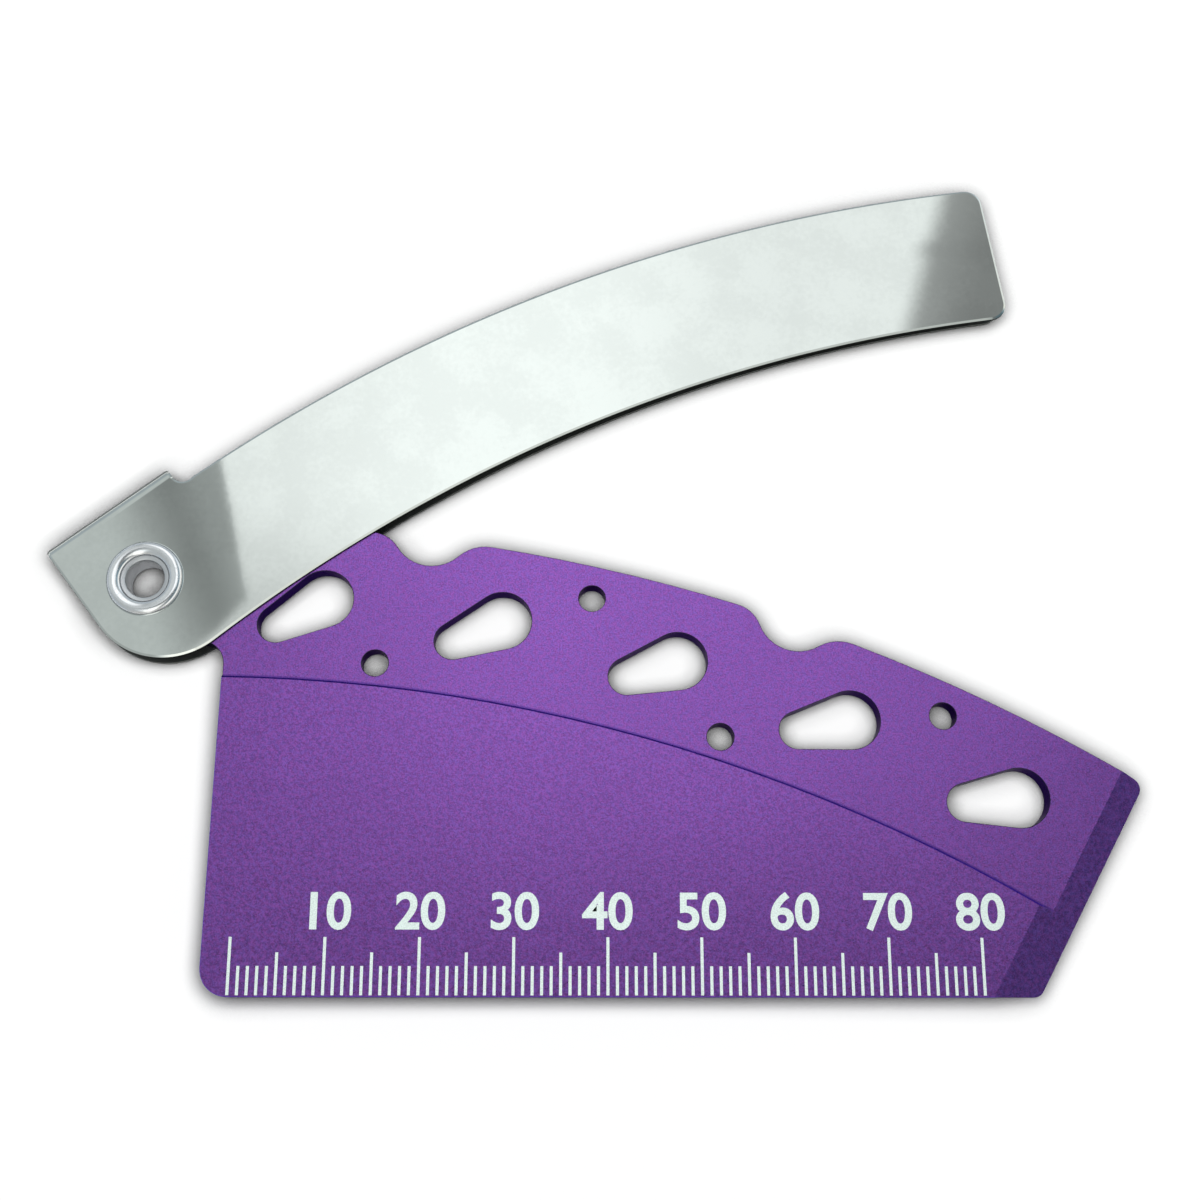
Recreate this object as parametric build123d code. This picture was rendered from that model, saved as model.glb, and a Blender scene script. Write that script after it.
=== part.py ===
from build123d import *
import math
import os

# A folding pad spacing gauge, in millimetres. It lies flat: +Z is up out of the plate's face,
# +X runs along the plate's long straight edge, and the origin is the middle of the pivot.
# The blades are drawn as they lie when folded shut over the plate, and are turned to the open
# pose at the end.

# Thicknesses and running gaps
plate_thickness = 3.175
recess_depth = 0.40
leaf_thickness = 0.38
leaf_clearance = 0.04
plate_edge_break = 0.06
step_edge_break = 0.22
leaf_edge_break = 0.12
pivot_running_gap = 0.05
leaf_hole_gap = 0.02

# The plate's arcs share one centre. Places on them are a radius from it and an angle from +Y.
arc_centre = (7.41, -191.48)
step_radius = 180.42
edge_radius = 198.10

# The plate's straight edges and their corners. The far edge is at a distance from the pivot.
left_edge_top_x = 9.30
left_edge_bottom_x = 8.93
bottom_edge_y = -45.60
far_edge_distance = 107.85
far_edge_angle = 60.0
bottom_left_radius = 3.0
far_corner_radius = 1.2
far_top_place = (111.5, -22.5)

# The wedge on the far edge
wedge_end_thickness = 0.95
wedge_angle = 13.7

# The tang that carries the pivot
tang_radius = 7.1
tang_shoulder_radius = 2.6
tang_top_radius = 2.0
tang_top_place = (2.8, 6.5)

# Teardrop holes: a small round end and a large one, joined by tangents
hole_pitch = 6.11
teardrop_count = 5
teardrop_start_angle = 2.30
teardrop_swing = 1.54
teardrop_small_radius = 2.12
teardrop_small_place = 186.56
teardrop_large_radius = 3.30
teardrop_large_place = 189.79

# Small round holes, each at a radius and an angle
small_hole_radius = 1.51
small_hole_places = ((182.94, 5.86), (194.36, 12.74), (182.94, 18.18), (194.36, 24.93))

# Thumb notches in the outer edge
notch_angles = (7.10, 19.36)
notch_place = 199.40
notch_radius = 4.55
notch_left_radius = 3.70
notch_right_radius = 4.50

# Feeler leaves, as they lie when shut. They taper a little to the tip. The lower one is cut
# a little round the pivot from the upper one, so that less of its inner edge shows at the tip.
open_angle = 38.0
leaf_inner_centre = (7.84, -189.64)
leaf_inner_radius = 179.20
leaf_outer_centre = (8.86, -184.85)
leaf_outer_radius = 191.75
leaf_tip_place = (103.44, -27.86)
leaf_tip_angle = 60.7
leaf_tip_half_height = 7.6
leaf_tip_radius = 2.0
lower_leaf_skew = 0.41

# The leaves' root, and the fold that joins them above it, with a relief hole at its end
root_left_x = -7.1
root_corner_radius = 8.9
fold_start_y = 8.25
relief_centre = (10.62, 8.25)
relief_radius = 1.42

# The eyelet's barrel, its bore, and the rims rolled over at both ends. A rim runs down a funnel
# to its foot, and over a narrow shelf and a small lip into the bore. Both are a radius and a height.
barrel_radius = 3.0
bore_radius = 2.15
bore_straight_half = 1.45
shelf_lip = (2.26, 1.62)
funnel_foot = (2.66, 1.70)
rim_radius = 4.33
rim_crest_radius = 3.60
rim_wall = 0.36

recess_half = plate_thickness / 2 - recess_depth
gap_half = recess_half + leaf_clearance
leaf_face = gap_half + leaf_thickness

# A length that reaches past every part of the tool
beyond = 200.0


def polar(radius, angle):
    """A place on the plate, by its radius from the arcs' centre and its angle from +Y."""
    turn = math.radians(angle)
    return (arc_centre[0] + radius * math.sin(turn), arc_centre[1] + radius * math.cos(turn))


def turned(point, angle):
    """A point turned about the pivot."""
    vector = Vector(*point).rotate(Axis.Z, angle)
    return (vector.X, vector.Y)


def on_line(point, angle, y):
    """Where the line through a point, at an angle from +X, crosses a height y."""
    return (point[0] + (y - point[1]) / math.tan(math.radians(angle)), y)


def area(*points):
    """A face with straight sides."""
    return make_face(Polyline(*points, close=True))


def disc(centre, radius):
    """A round face."""
    return Pos(*centre) * Circle(radius)


def rounded(face, place, radius):
    """The face with its corner nearest to a place rounded."""
    corner = face.vertices().sort_by_distance((*place, 0))[0]
    return fillet(corner, radius)


def slab(face, half_height, edge_break=plate_edge_break):
    """An even plate about the middle plane, with its edges broken on both faces."""
    solid = extrude(face, half_height, both=True)
    edges = solid.edges().group_by(Axis.Z)
    return chamfer(edges[0] + edges[-1], edge_break)


def plate_outline():
    """The plate's outline: body, tang, thumb notches and rounded corners."""
    far_edge_point = (far_edge_distance / math.sin(math.radians(far_edge_angle)), 0)
    bottom_left = (left_edge_bottom_x, bottom_edge_y)
    bottom_right = on_line(far_edge_point, far_edge_angle, bottom_edge_y)
    body = area(
        (left_edge_top_x, beyond),
        (left_edge_top_x, -tang_radius),
        bottom_left,
        bottom_right,
        on_line(far_edge_point, far_edge_angle, beyond),
    )
    inland = left_edge_top_x + 1
    tang = area((0, -tang_radius), (inland, -tang_radius), (inland, beyond), (0, beyond))
    outline = (body + tang) & disc(arc_centre, edge_radius)
    outline += Circle(tang_radius)
    for angle in notch_angles:
        outline -= disc(polar(notch_place, angle), notch_radius)

    outline = rounded(outline, (left_edge_top_x, -tang_radius), tang_shoulder_radius)
    outline = rounded(outline, tang_top_place, tang_top_radius)
    outline = rounded(outline, bottom_left, bottom_left_radius)
    outline = rounded(outline, bottom_right, far_corner_radius)
    outline = rounded(outline, far_top_place, far_corner_radius)
    half_notch = math.degrees(notch_radius / edge_radius)
    for angle in notch_angles:
        outline = rounded(outline, polar(edge_radius, angle - half_notch), notch_left_radius)
        outline = rounded(outline, polar(edge_radius, angle + half_notch), notch_right_radius)
    return outline


def teardrop(start_angle):
    """One teardrop hole: its two discs and the four-sided face between their tangent points."""
    small = Vector(*polar(teardrop_small_place, start_angle))
    large = Vector(*polar(teardrop_large_place, start_angle + teardrop_swing))
    along = large - small
    lean = math.degrees(math.acos((teardrop_small_radius - teardrop_large_radius) / along.length))
    left, right = (along.normalized().rotate(Axis.Z, side * lean) for side in (1, -1))
    corners = (
        small + left * teardrop_small_radius,
        large + left * teardrop_large_radius,
        large + right * teardrop_large_radius,
        small + right * teardrop_small_radius,
    )
    ends = disc(small, teardrop_small_radius) + disc(large, teardrop_large_radius)
    return ends + area(*corners)


def plate_holes():
    """The pivot hole, the teardrop holes and the small round holes."""
    holes = Circle(barrel_radius + pivot_running_gap)
    for index in range(teardrop_count):
        holes += teardrop(teardrop_start_angle + index * hole_pitch)
    for place in small_hole_places:
        holes += disc(polar(*place), small_hole_radius)
    return holes


def wedge_space():
    """The space between the wedge's two slopes, which open out inland from the far edge."""
    turn = math.radians(far_edge_angle)
    outward = Vector(math.sin(turn), -math.cos(turn))
    along_edge = Vector(math.cos(turn), math.sin(turn))
    plane = Plane(origin=outward * far_edge_distance, x_dir=-outward, z_dir=along_edge)
    half_end = wedge_end_thickness / 2
    half_inland = half_end + beyond * math.tan(math.radians(wedge_angle))
    section = area((0, -half_end), (0, half_end), (beyond, half_inland), (beyond, -half_inland))
    return extrude(plane * section, beyond, both=True)


def body_plate():
    """The anodised plate: a thin slab with the holes, and the thick part inside the step."""
    outline = plate_outline()
    thin = slab(outline - plate_holes(), recess_half)
    inside_step = slab(disc(arc_centre, step_radius), plate_thickness / 2, step_edge_break)
    thick = slab(outline, plate_thickness / 2) & inside_step
    return (thin + thick) & wedge_space()


def leaf_outline(skew):
    """One leaf's outline. A skew turns its band and tip about the pivot, but not its root."""
    tip = turned(leaf_tip_place, skew)
    tip_angle = leaf_tip_angle + skew
    reach = area(
        (root_left_x, -beyond),
        on_line(tip, tip_angle, -beyond),
        on_line(tip, tip_angle, beyond),
        (root_left_x, beyond),
    )
    outside = disc(turned(leaf_outer_centre, skew), leaf_outer_radius)
    inside = disc(turned(leaf_inner_centre, skew), leaf_inner_radius)
    tab = area(
        (root_left_x, 0),
        (relief_centre[0], 0),
        (relief_centre[0], fold_start_y),
        (root_left_x, fold_start_y),
    )
    outline = ((outside - inside) & reach) + tab - disc(relief_centre, relief_radius)
    outline -= Circle(barrel_radius + leaf_hole_gap)

    root_corner = (root_left_x, leaf_inner_centre[1] + leaf_inner_radius)
    outline = rounded(outline, root_corner, root_corner_radius)
    for offset in (-leaf_tip_half_height, leaf_tip_half_height):
        outline = rounded(outline, on_line(tip, tip_angle, tip[1] + offset), leaf_tip_radius)
    return outline


def fold():
    """The half-round fold between the leaves. It ends where the relief holes begin."""
    ring = Circle(leaf_face) - Circle(gap_half)
    half_ring = split(ring, Plane.YZ, keep=Keep.TOP)
    length = relief_centre[0] - relief_radius - root_left_x
    return Pos(root_left_x, fold_start_y) * extrude(Plane.YZ * half_ring, length)


def outer_edge(edge):
    """Whether an edge runs along the blades' outside face, other than where the fold starts."""
    points = [edge.position_at(share) for share in (0, 0.25, 0.5, 0.75, 1)]
    heights = [math.hypot(max(p.Y - fold_start_y, 0), p.Z) for p in points]
    seam = all(abs(p.Y - fold_start_y) < 1e-6 for p in points)
    return not seam and all(abs(height - leaf_face) < 1e-5 for height in heights)


def feeler_blades():
    """One folded sheet: two leaves and the fold that joins them, turned to the open pose."""
    upper = Pos(0, 0, gap_half) * extrude(leaf_outline(0), leaf_thickness)
    lower = Pos(0, 0, -leaf_face) * extrude(leaf_outline(lower_leaf_skew), leaf_thickness)
    sheet = upper + lower + fold()
    sheet = chamfer(sheet.edges().filter_by(outer_edge), leaf_edge_break)
    return Rot(0, 0, open_angle) * sheet


def pivot_eyelet():
    """The hollow rivet: a barrel whose bore opens over a shelf and up a funnel into a rolled rim
    at each end. The funnel's line touches the rim's circle."""
    roll = Vector(rim_crest_radius, leaf_face)
    roll_radius = rim_radius - rim_crest_radius
    foot = Vector(*funnel_foot)
    span = roll - foot
    funnel_length = math.sqrt(span.length ** 2 - roll_radius ** 2)
    funnel_turn = math.degrees(math.atan2(roll_radius, funnel_length))
    funnel_end = foot + span.normalized().rotate(Axis.Z, funnel_turn) * funnel_length
    hollow = roll_radius - rim_wall
    crest = roll + Vector(0, roll_radius)
    half = make_face([
        Polyline(
            (barrel_radius, 0),
            (bore_radius, 0),
            (bore_radius, bore_straight_half),
            shelf_lip,
            foot,
            funnel_end,
        ),
        ThreePointArc(funnel_end, crest, roll + Vector(roll_radius, 0)),
        Line(roll + Vector(roll_radius, 0), roll + Vector(hollow, 0)),
        ThreePointArc(roll + Vector(hollow, 0), roll + Vector(0, hollow), roll - Vector(hollow, 0)),
        Polyline(roll - Vector(hollow, 0), (barrel_radius, leaf_face), (barrel_radius, 0)),
    ])
    section = Plane.XZ * (half + mirror(half, Plane.XZ))
    return revolve(section, Axis.Z)


os.makedirs("parts", exist_ok=True)
for make_piece in (body_plate, feeler_blades, pivot_eyelet):
    export_step(make_piece(), f"parts/{make_piece.__name__}.step")
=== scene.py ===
import math

import bpy
import numpy as np
from bpy.props import FloatProperty, FloatVectorProperty, IntProperty, PointerProperty
from mathutils import Euler, Matrix, Vector
from mathutils.geometry import tessellate_polygon


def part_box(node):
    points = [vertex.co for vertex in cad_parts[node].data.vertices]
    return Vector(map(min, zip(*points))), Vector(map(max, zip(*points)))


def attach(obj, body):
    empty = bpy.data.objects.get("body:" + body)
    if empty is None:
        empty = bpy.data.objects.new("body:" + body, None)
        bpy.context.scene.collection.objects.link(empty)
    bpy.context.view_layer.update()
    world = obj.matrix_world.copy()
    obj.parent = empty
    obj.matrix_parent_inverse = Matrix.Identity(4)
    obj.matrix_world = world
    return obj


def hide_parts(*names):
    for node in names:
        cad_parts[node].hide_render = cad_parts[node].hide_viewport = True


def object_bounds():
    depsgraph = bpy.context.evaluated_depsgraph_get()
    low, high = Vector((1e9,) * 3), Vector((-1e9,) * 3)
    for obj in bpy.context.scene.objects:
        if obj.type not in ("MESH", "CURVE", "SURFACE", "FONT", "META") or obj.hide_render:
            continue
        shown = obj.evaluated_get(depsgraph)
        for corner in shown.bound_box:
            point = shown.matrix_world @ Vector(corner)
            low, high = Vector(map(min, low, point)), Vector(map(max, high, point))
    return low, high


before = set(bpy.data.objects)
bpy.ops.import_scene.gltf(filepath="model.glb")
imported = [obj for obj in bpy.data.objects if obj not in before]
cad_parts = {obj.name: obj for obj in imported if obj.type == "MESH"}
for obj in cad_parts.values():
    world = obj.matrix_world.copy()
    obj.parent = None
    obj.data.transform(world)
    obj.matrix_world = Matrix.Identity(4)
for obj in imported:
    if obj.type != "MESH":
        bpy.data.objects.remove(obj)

bl_info = {
    "name": "Pad spacing gauge",
    "version": (1, 0, 0),
    "blender": (4, 5, 0),
    "location": "3D View > Sidebar > Gauge",
    "description": "Finishes the folding pad spacing gauge: anodised plate, steel leaves, eyelet and rule",
    "category": "Add Mesh",
}

MM = 0.001
CAD_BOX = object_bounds()
PLATE_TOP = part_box("body_plate")[1].z

# The step between the plate's body and its thin band is a part of this circle.
STEP_CENTRE = (7.41 * MM, -191.48 * MM, 0.0)
STEP_RADIUS = 180.42 * MM

# An edge whose faces turn by more than this is sharp.
SHARP_ANGLE = math.radians(20)

BLACK = (0.0, 0.0, 0.0, 1.0)
WHITE = (1.0, 1.0, 1.0, 1.0)


def length(name, description, millimetres):
    """A length that a user can change, given in millimetres and kept in metres."""
    return FloatProperty(
        name=name, description=description, default=millimetres * MM, unit="LENGTH", precision=5
    )


def place(name, description, first, second):
    """An X and Y, or a radius and a height, given in millimetres and kept in metres."""
    return FloatVectorProperty(
        name=name, description=description, default=(first * MM, second * MM), size=2,
        unit="LENGTH", precision=5,
    )


def colour(name, description, red, green, blue):
    """A colour that a user can change."""
    return FloatVectorProperty(
        name=name, description=description, default=(red, green, blue), size=3,
        subtype="COLOR", min=0, max=1,
    )


def angle(name, description, degrees):
    """An angle that a user can change, given in degrees and kept in radians."""
    return FloatProperty(
        name=name, description=description, default=math.radians(degrees), subtype="ANGLE"
    )


def number(name, description, value, unit="NONE"):
    """A number that a user can change."""
    return FloatProperty(name=name, description=description, default=value, unit=unit)


class BladeSizes(bpy.types.PropertyGroup):
    """The folded steel sheet, as it lies when shut over the plate."""

    gap_half: length("Half gap", "From the middle plane to a leaf's inner face", 1.2275)
    thickness: length("Thickness", "The sheet's thickness", 0.38)
    rim_width: length("Rim width", "Width of the slope along the leaves' outer edges", 0.25)
    rim_drop: length("Rim drop", "Depth of the slope along the leaves' outer edges", 0.11)
    inner_break: length("Inner break", "How far the leaves' inner edges are broken", 0.02)
    open_angle: angle("Open angle", "How far the leaves are swung out of the plate", 38.0)
    inner_centre: place("Inner arc centre", "Centre of the leaves' inner arc", 7.84, -189.64)
    inner_radius: length("Inner arc radius", "Radius of the leaves' inner arc", 179.20)
    outer_centre: place("Outer arc centre", "Centre of the leaves' outer arc", 8.86, -184.85)
    outer_radius: length("Outer arc radius", "Radius of the leaves' outer arc", 191.75)
    tip_place: place("Tip", "A point on the straight end", 103.44, -27.86)
    tip_angle: angle("Tip angle", "The straight end's angle from +X", 60.7)
    tip_radius: length("Tip corners", "Radius of the two corners at the tip", 2.0)
    lower_skew: angle("Lower skew", "How far the lower leaf's band is cut round the pivot", 0.41)
    root_left: length("Root edge", "The straight edge beside the pivot, in X", -7.1)
    root_radius: length("Root corner", "Radius of the large corner below the pivot", 8.9)
    fold_start: length("Fold start", "Where the leaves start to fold, in Y", 8.25)
    relief_centre: place("Relief centre", "Centre of the relief notch beside the fold", 10.62, 8.25)
    relief_radius: length("Relief radius", "Radius of the relief notch", 1.42)
    hole_radius: length("Hole radius", "Radius of the hole for the eyelet", 3.02)


class EyeletSizes(bpy.types.PropertyGroup):
    """The hollow rivet."""

    barrel: length("Barrel radius", "Outside radius between the leaves", 3.0)
    bore: length("Bore radius", "Radius of the straight bore", 2.15)
    bore_half: length("Half bore", "Half the length of the straight bore", 1.45)
    turning: length("Turning marks", "Depth of the tool's marks round the bore", 0.03)
    lip: place("Shelf lip", "The small lip over the bore: radius and height", 2.26, 1.62)
    lip_round: length("Lip rounding", "How far the lip is rounded", 0.04)
    foot: place("Funnel foot", "Where the funnel meets the shelf: radius and height", 2.66, 1.70)
    rim: length("Rim radius", "Outside radius of the rolled rim", 4.33)
    crest: length("Crest radius", "Radius of the rim's highest line", 3.6)
    wall: length("Rim wall", "Thickness of the rolled rim", 0.36)
    sides: IntProperty(name="Sides", description="Steps round the eyelet", default=160, min=24)


class RuleSizes(bpy.types.PropertyGroup):
    """The millimetre rule marked on the plate."""

    start: place("Start", "The zero mark's foot", 12.0, -45.42)
    marks: IntProperty(name="Length", description="Length of the rule in millimetres", default=80, min=10)
    long_mark: length("Ten mark", "Length of each tenth mark", 6.0)
    middle_mark: length("Five mark", "Length of each fifth mark", 4.4)
    short_mark: length("Mark", "Length of the other marks", 3.0)
    line: length("Line", "Width of a mark", 0.32)
    digit: length("Digit size", "Size of the numbers", 5.4)
    digit_weight: number("Digit weight", "Thickening of the numbers, as a share of their size", 0.022)
    digit_gap: length("Digit gap", "From a mark's top to its number", 0.9)
    film: length("Film", "How far the marks stand on the face", 0.012)


class Finishes(bpy.types.PropertyGroup):
    """The colours of the finishes."""

    dye: colour("Dye", "The anodised plate's faces", 0.234, 0.090, 0.412)
    # The cut edges and hole walls are their dye darkened nearly to black as painted shade.
    cut_dye: colour("Cut edges", "The plate's cut edges and hole walls", 0.040, 0.036, 0.065)
    # The step's deep blue is partly dye and partly painted shade.
    step_dye: colour("Step", "The small step over the plate's thin band", 0.12, 0.055, 0.50)
    steel: colour("Steel", "The polished leaves", 0.60, 0.635, 0.62)
    plating: colour("Plating", "The eyelet", 0.74, 0.76, 0.79)
    marking: colour("Marking", "The rule", 0.66, 0.76, 0.73)


class Studio(bpy.types.PropertyGroup):
    """The camera, the floor and the light. The camera's foot is the place straight below it."""

    lens: number("Lens", "Focal length", 47.16, "CAMERA")
    camera_x: length("Camera X", "The camera's place", 47.42)
    camera_y: length("Camera Y", "The camera's place", -49.39)
    camera_z: length("Camera Z", "The camera's height", 172.33)
    camera_tip: angle("Camera tip", "How far it looks away from straight down, to +Y", 15.4507)
    camera_lean: angle("Camera lean", "How far it looks away from straight down, to -X", -1.2549)
    floor_size: length("Floor", "Width of the floor", 3000)
    floor_gap: length("Floor gap", "From the lowest rim to the floor", 0.02)
    floor_white: number("Floor tone", "Tone of the floor below the camera", 0.72)
    floor_lift: number("Floor lift", "Whiteness added to the seen floor", 0.01)
    contact_reach: length("Contact shade", "How far the tool darkens the floor beside it", 1.7)
    contact_depth: number("Contact depth", "How strongly it does", 1.0)
    outer_reach: length("Outer shade", "Reach of the shade that leans out from the tool", 1.6)
    outer_growth: number("Outer growth", "Its growth for each metre out", 0.026)
    outer_depth: number("Outer depth", "How strongly it darkens", 1.05)
    outer_lean: number("Outer lean", "How far it leans for its distance out", 2.6)
    panel_height: length("Panel height", "Height of the soft panel", 600)
    panel_light: number("Panel light", "Radiance of the soft panel", 1.5)
    room_light: number("Room light", "Radiance of the walls", 0.6)
    ceiling_light: number("Ceiling light", "Radiance overhead", 0.33)
    lamp_width: length("Lamp width", "Width of the round lamp", 125)
    lamp_back: length("Lamp offset", "How far the lamp is behind the camera's foot", 12)
    lamp_power: number("Lamp power", "Power of the round lamp", 52.5, "POWER")


# Node helpers


def feed(tree, socket, value):
    """Gives an input its value: a number, a colour or another node's output."""
    if isinstance(value, bpy.types.NodeSocket):
        tree.links.new(value, socket)
    else:
        socket.default_value = value


def add_node(tree, kind, settings=None, **inputs):
    """A node with its settings and its named inputs."""
    node = tree.nodes.new(kind)
    for name, value in (settings or {}).items():
        setattr(node, name, value)
    for name, value in inputs.items():
        feed(tree, node.inputs[name.replace("_", " ")], value)
    return node


def compute(tree, operation, *values):
    """The result of one arithmetic node."""
    node = add_node(tree, "ShaderNodeMath", {"operation": operation})
    for socket, value in zip(node.inputs, values):
        feed(tree, socket, value)
    return node.outputs[0]


def compute_vector(tree, operation, *values):
    """The outputs of one vector arithmetic node, by name."""
    node = add_node(tree, "ShaderNodeVectorMath", {"operation": operation})
    for socket, value in zip(node.inputs, values):
        feed(tree, socket, value)
    return node.outputs


def product(tree, value, *factors):
    """A value times each of its factors."""
    for factor in factors:
        value = compute(tree, "MULTIPLY", value, factor)
    return value


def rest_of(tree, value):
    """One less a value."""
    return compute(tree, "SUBTRACT", 1.0, value)


def distance_from(tree, value, middle):
    """How far a value is from a middle one, either way."""
    return compute(tree, "ABSOLUTE", compute(tree, "SUBTRACT", value, middle))


def ramp(tree, value, span, ends=(0.0, 1.0)):
    """A value carried smoothly from a span's two ends to two others, and held past them."""
    node = add_node(
        tree, "ShaderNodeMapRange", {"interpolation_type": "SMOOTHSTEP"},
        Value=value, From_Min=span[0], From_Max=span[1], To_Min=ends[0], To_Max=ends[1],
    )
    return node.outputs["Result"]


def blend_colours(tree, share, first, second):
    """A mix of two colours, each with its alpha. A Mix node has sockets for each kind of data,
    and these are the ones for colours."""
    node = add_node(tree, "ShaderNodeMix", {"data_type": "RGBA"})
    share_socket, first_socket, second_socket, mixed_socket = 0, 6, 7, 2
    feed(tree, node.inputs[share_socket], share)
    feed(tree, node.inputs[first_socket], first)
    feed(tree, node.inputs[second_socket], second)
    return node.outputs[mixed_socket]


def shade(base, factor=1.0):
    """A colour made lighter or darker, with its alpha."""
    return (*(min(1.0, channel * factor) for channel in base), 1.0)


def between_shades(tree, share, base, first, second):
    """A mix of two shades of one colour, each given as a factor."""
    return blend_colours(tree, share, shade(base, first), shade(base, second))


def grain(tree, position, grain_size, detail=2.0, turn=0.0):
    """Noise whose spots are about a given size, turned in the plane. Its middle is one half."""
    mapping = add_node(
        tree, "ShaderNodeMapping", Vector=position,
        Scale=(1 / grain_size,) * 3, Rotation=(0, 0, turn),
    )
    noise = add_node(tree, "ShaderNodeTexNoise", Vector=mapping.outputs[0], Scale=1.0, Detail=detail)
    return noise.outputs["Fac"]


def mixed_grain(tree, main, minor, minor_share=0.3):
    """Two noises mixed by their shares."""
    return compute(tree, "MULTIPLY_ADD", minor, minor_share, product(tree, main, 1 - minor_share))


def contrast(tree, noise, spread, ends=(0.0, 1.0)):
    """Noise from a spread under its middle to a spread over it, carried to two other ends."""
    return ramp(tree, noise, (0.5 - spread, 0.5 + spread), ends)


def size_along_z(tree, vector):
    """The size of a vector's part along Z."""
    parts = add_node(tree, "ShaderNodeSeparateXYZ", Vector=vector)
    return compute(tree, "ABSOLUTE", parts.outputs["Z"])


def levelness(tree):
    """How level the surface is: its normal's part along Z, from 0 on a wall to 1 on a face."""
    return size_along_z(tree, tree.nodes.new("ShaderNodeTexCoord").outputs["Normal"])


def empty_tree(owner):
    """The node tree of a material, a world or a lamp, with no nodes in it."""
    owner.use_nodes = True
    owner.node_tree.nodes.clear()
    return owner.node_tree


def new_material(name):
    """A material with one shader: its tree, its shader and its Object coordinates."""
    material = bpy.data.materials.new(name)
    tree = empty_tree(material)
    shader = tree.nodes.new("ShaderNodeBsdfPrincipled")
    add_node(tree, "ShaderNodeOutputMaterial", Surface=shader.outputs[0])
    position = tree.nodes.new("ShaderNodeTexCoord").outputs["Object"]
    return material, tree, shader, position


def make_metal(shader, slant_tint):
    """Makes a shader a metal. Its specular tint is what it keeps of a reflection seen at a slant."""
    shader.inputs["Metallic"].default_value = 1.0
    shader.inputs["Specular Tint"].default_value = slant_tint


def finish_shader(tree, shader, tint, roughness, height, depth):
    """Gives a shader its colour, its roughness and a bump of a given depth."""
    bump = add_node(tree, "ShaderNodeBump", Height=height, Distance=depth, Strength=1.0)
    feed(tree, shader.inputs["Base Color"], tint)
    feed(tree, shader.inputs["Roughness"], roughness)
    feed(tree, shader.inputs["Normal"], bump.outputs[0])


# Finishes


def anodised_finish(finishes, step_foot):
    """Bead-blasted and dyed aluminium. Its fine grain has dark and light spots, ruddy and bluish
    ones, and the dye drifts slightly. The small step, whose foot is at a given height, and a thin
    line along it have a deeper blue that is partly dye and partly painted shade, and the walls
    below it are their dye darkened nearly to black as painted shade. The wedge, which isn't quite
    level, has no such line."""
    material, tree, shader, position = new_material("anodised_plate")
    make_metal(shader, (0.35, 0.3, 0.42, 1.0))
    fine = grain(tree, position, 0.17 * MM)
    coarse = grain(tree, position, 0.5 * MM)
    hue = grain(tree, position, 0.4 * MM, turn=1.0)
    drift = grain(tree, position, 20 * MM)
    spots = mixed_grain(tree, fine, coarse)

    red, green, blue = finishes.dye
    ruddy = (red * 1.1, green * 0.95, blue * 0.96)
    bluish = (red * 0.9, green * 1.05, blue * 1.04)
    dark_spot, light_spot = 0.72, 1.26
    share = contrast(tree, spots, 0.16)
    ruddy_spots = between_shades(tree, share, ruddy, dark_spot, light_spot)
    bluish_spots = between_shades(tree, share, bluish, dark_spot, light_spot)
    grained = blend_colours(tree, contrast(tree, hue, 0.15), ruddy_spots, bluish_spots)
    most_drift, drifted = 0.12, 0.7
    wash = contrast(tree, drift, 0.2, (0.0, most_drift))
    washed = blend_colours(tree, wash, grained, shade(finishes.dye, drifted))

    level = levelness(tree)
    wall_to_face, wedge_to_face = (0.74, 0.92), (0.98, 0.99)
    # Painted shade: a thin dark blue line on the faces along the step, kept off the wedge.
    line_edge, line_share, line_shade = (0.1 * MM, 0.3 * MM), 0.6, 0.5
    flat = compute_vector(tree, "MULTIPLY", position, (1.0, 1.0, 0.0))["Vector"]
    off_centre = compute_vector(tree, "DISTANCE", flat, STEP_CENTRE)["Value"]
    off_step = distance_from(tree, off_centre, STEP_RADIUS)
    line = ramp(tree, off_step, line_edge, (line_share, 0.0))
    painted_step_shade = product(tree, line, ramp(tree, level, wedge_to_face))
    faces = blend_colours(tree, painted_step_shade, washed, shade(finishes.step_dye, line_shade))

    # Walls over the step's foot take the step's colour, partly dye and partly painted shade; walls below
    # it are dye darkened nearly to black as painted shade.
    foot_edge = (step_foot - 0.05 * MM, step_foot)
    over_foot = ramp(tree, size_along_z(tree, position), foot_edge)
    walls = blend_colours(tree, over_foot, shade(finishes.cut_dye), shade(finishes.step_dye))
    tint = blend_colours(tree, ramp(tree, level, wall_to_face), walls, faces)
    smooth, rough, bump_depth = 0.27, 0.33, 0.016 * MM
    roughness = contrast(tree, coarse, 0.2, (smooth, rough))
    finish_shader(tree, shader, tint, roughness, spots, bump_depth)
    return material


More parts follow.
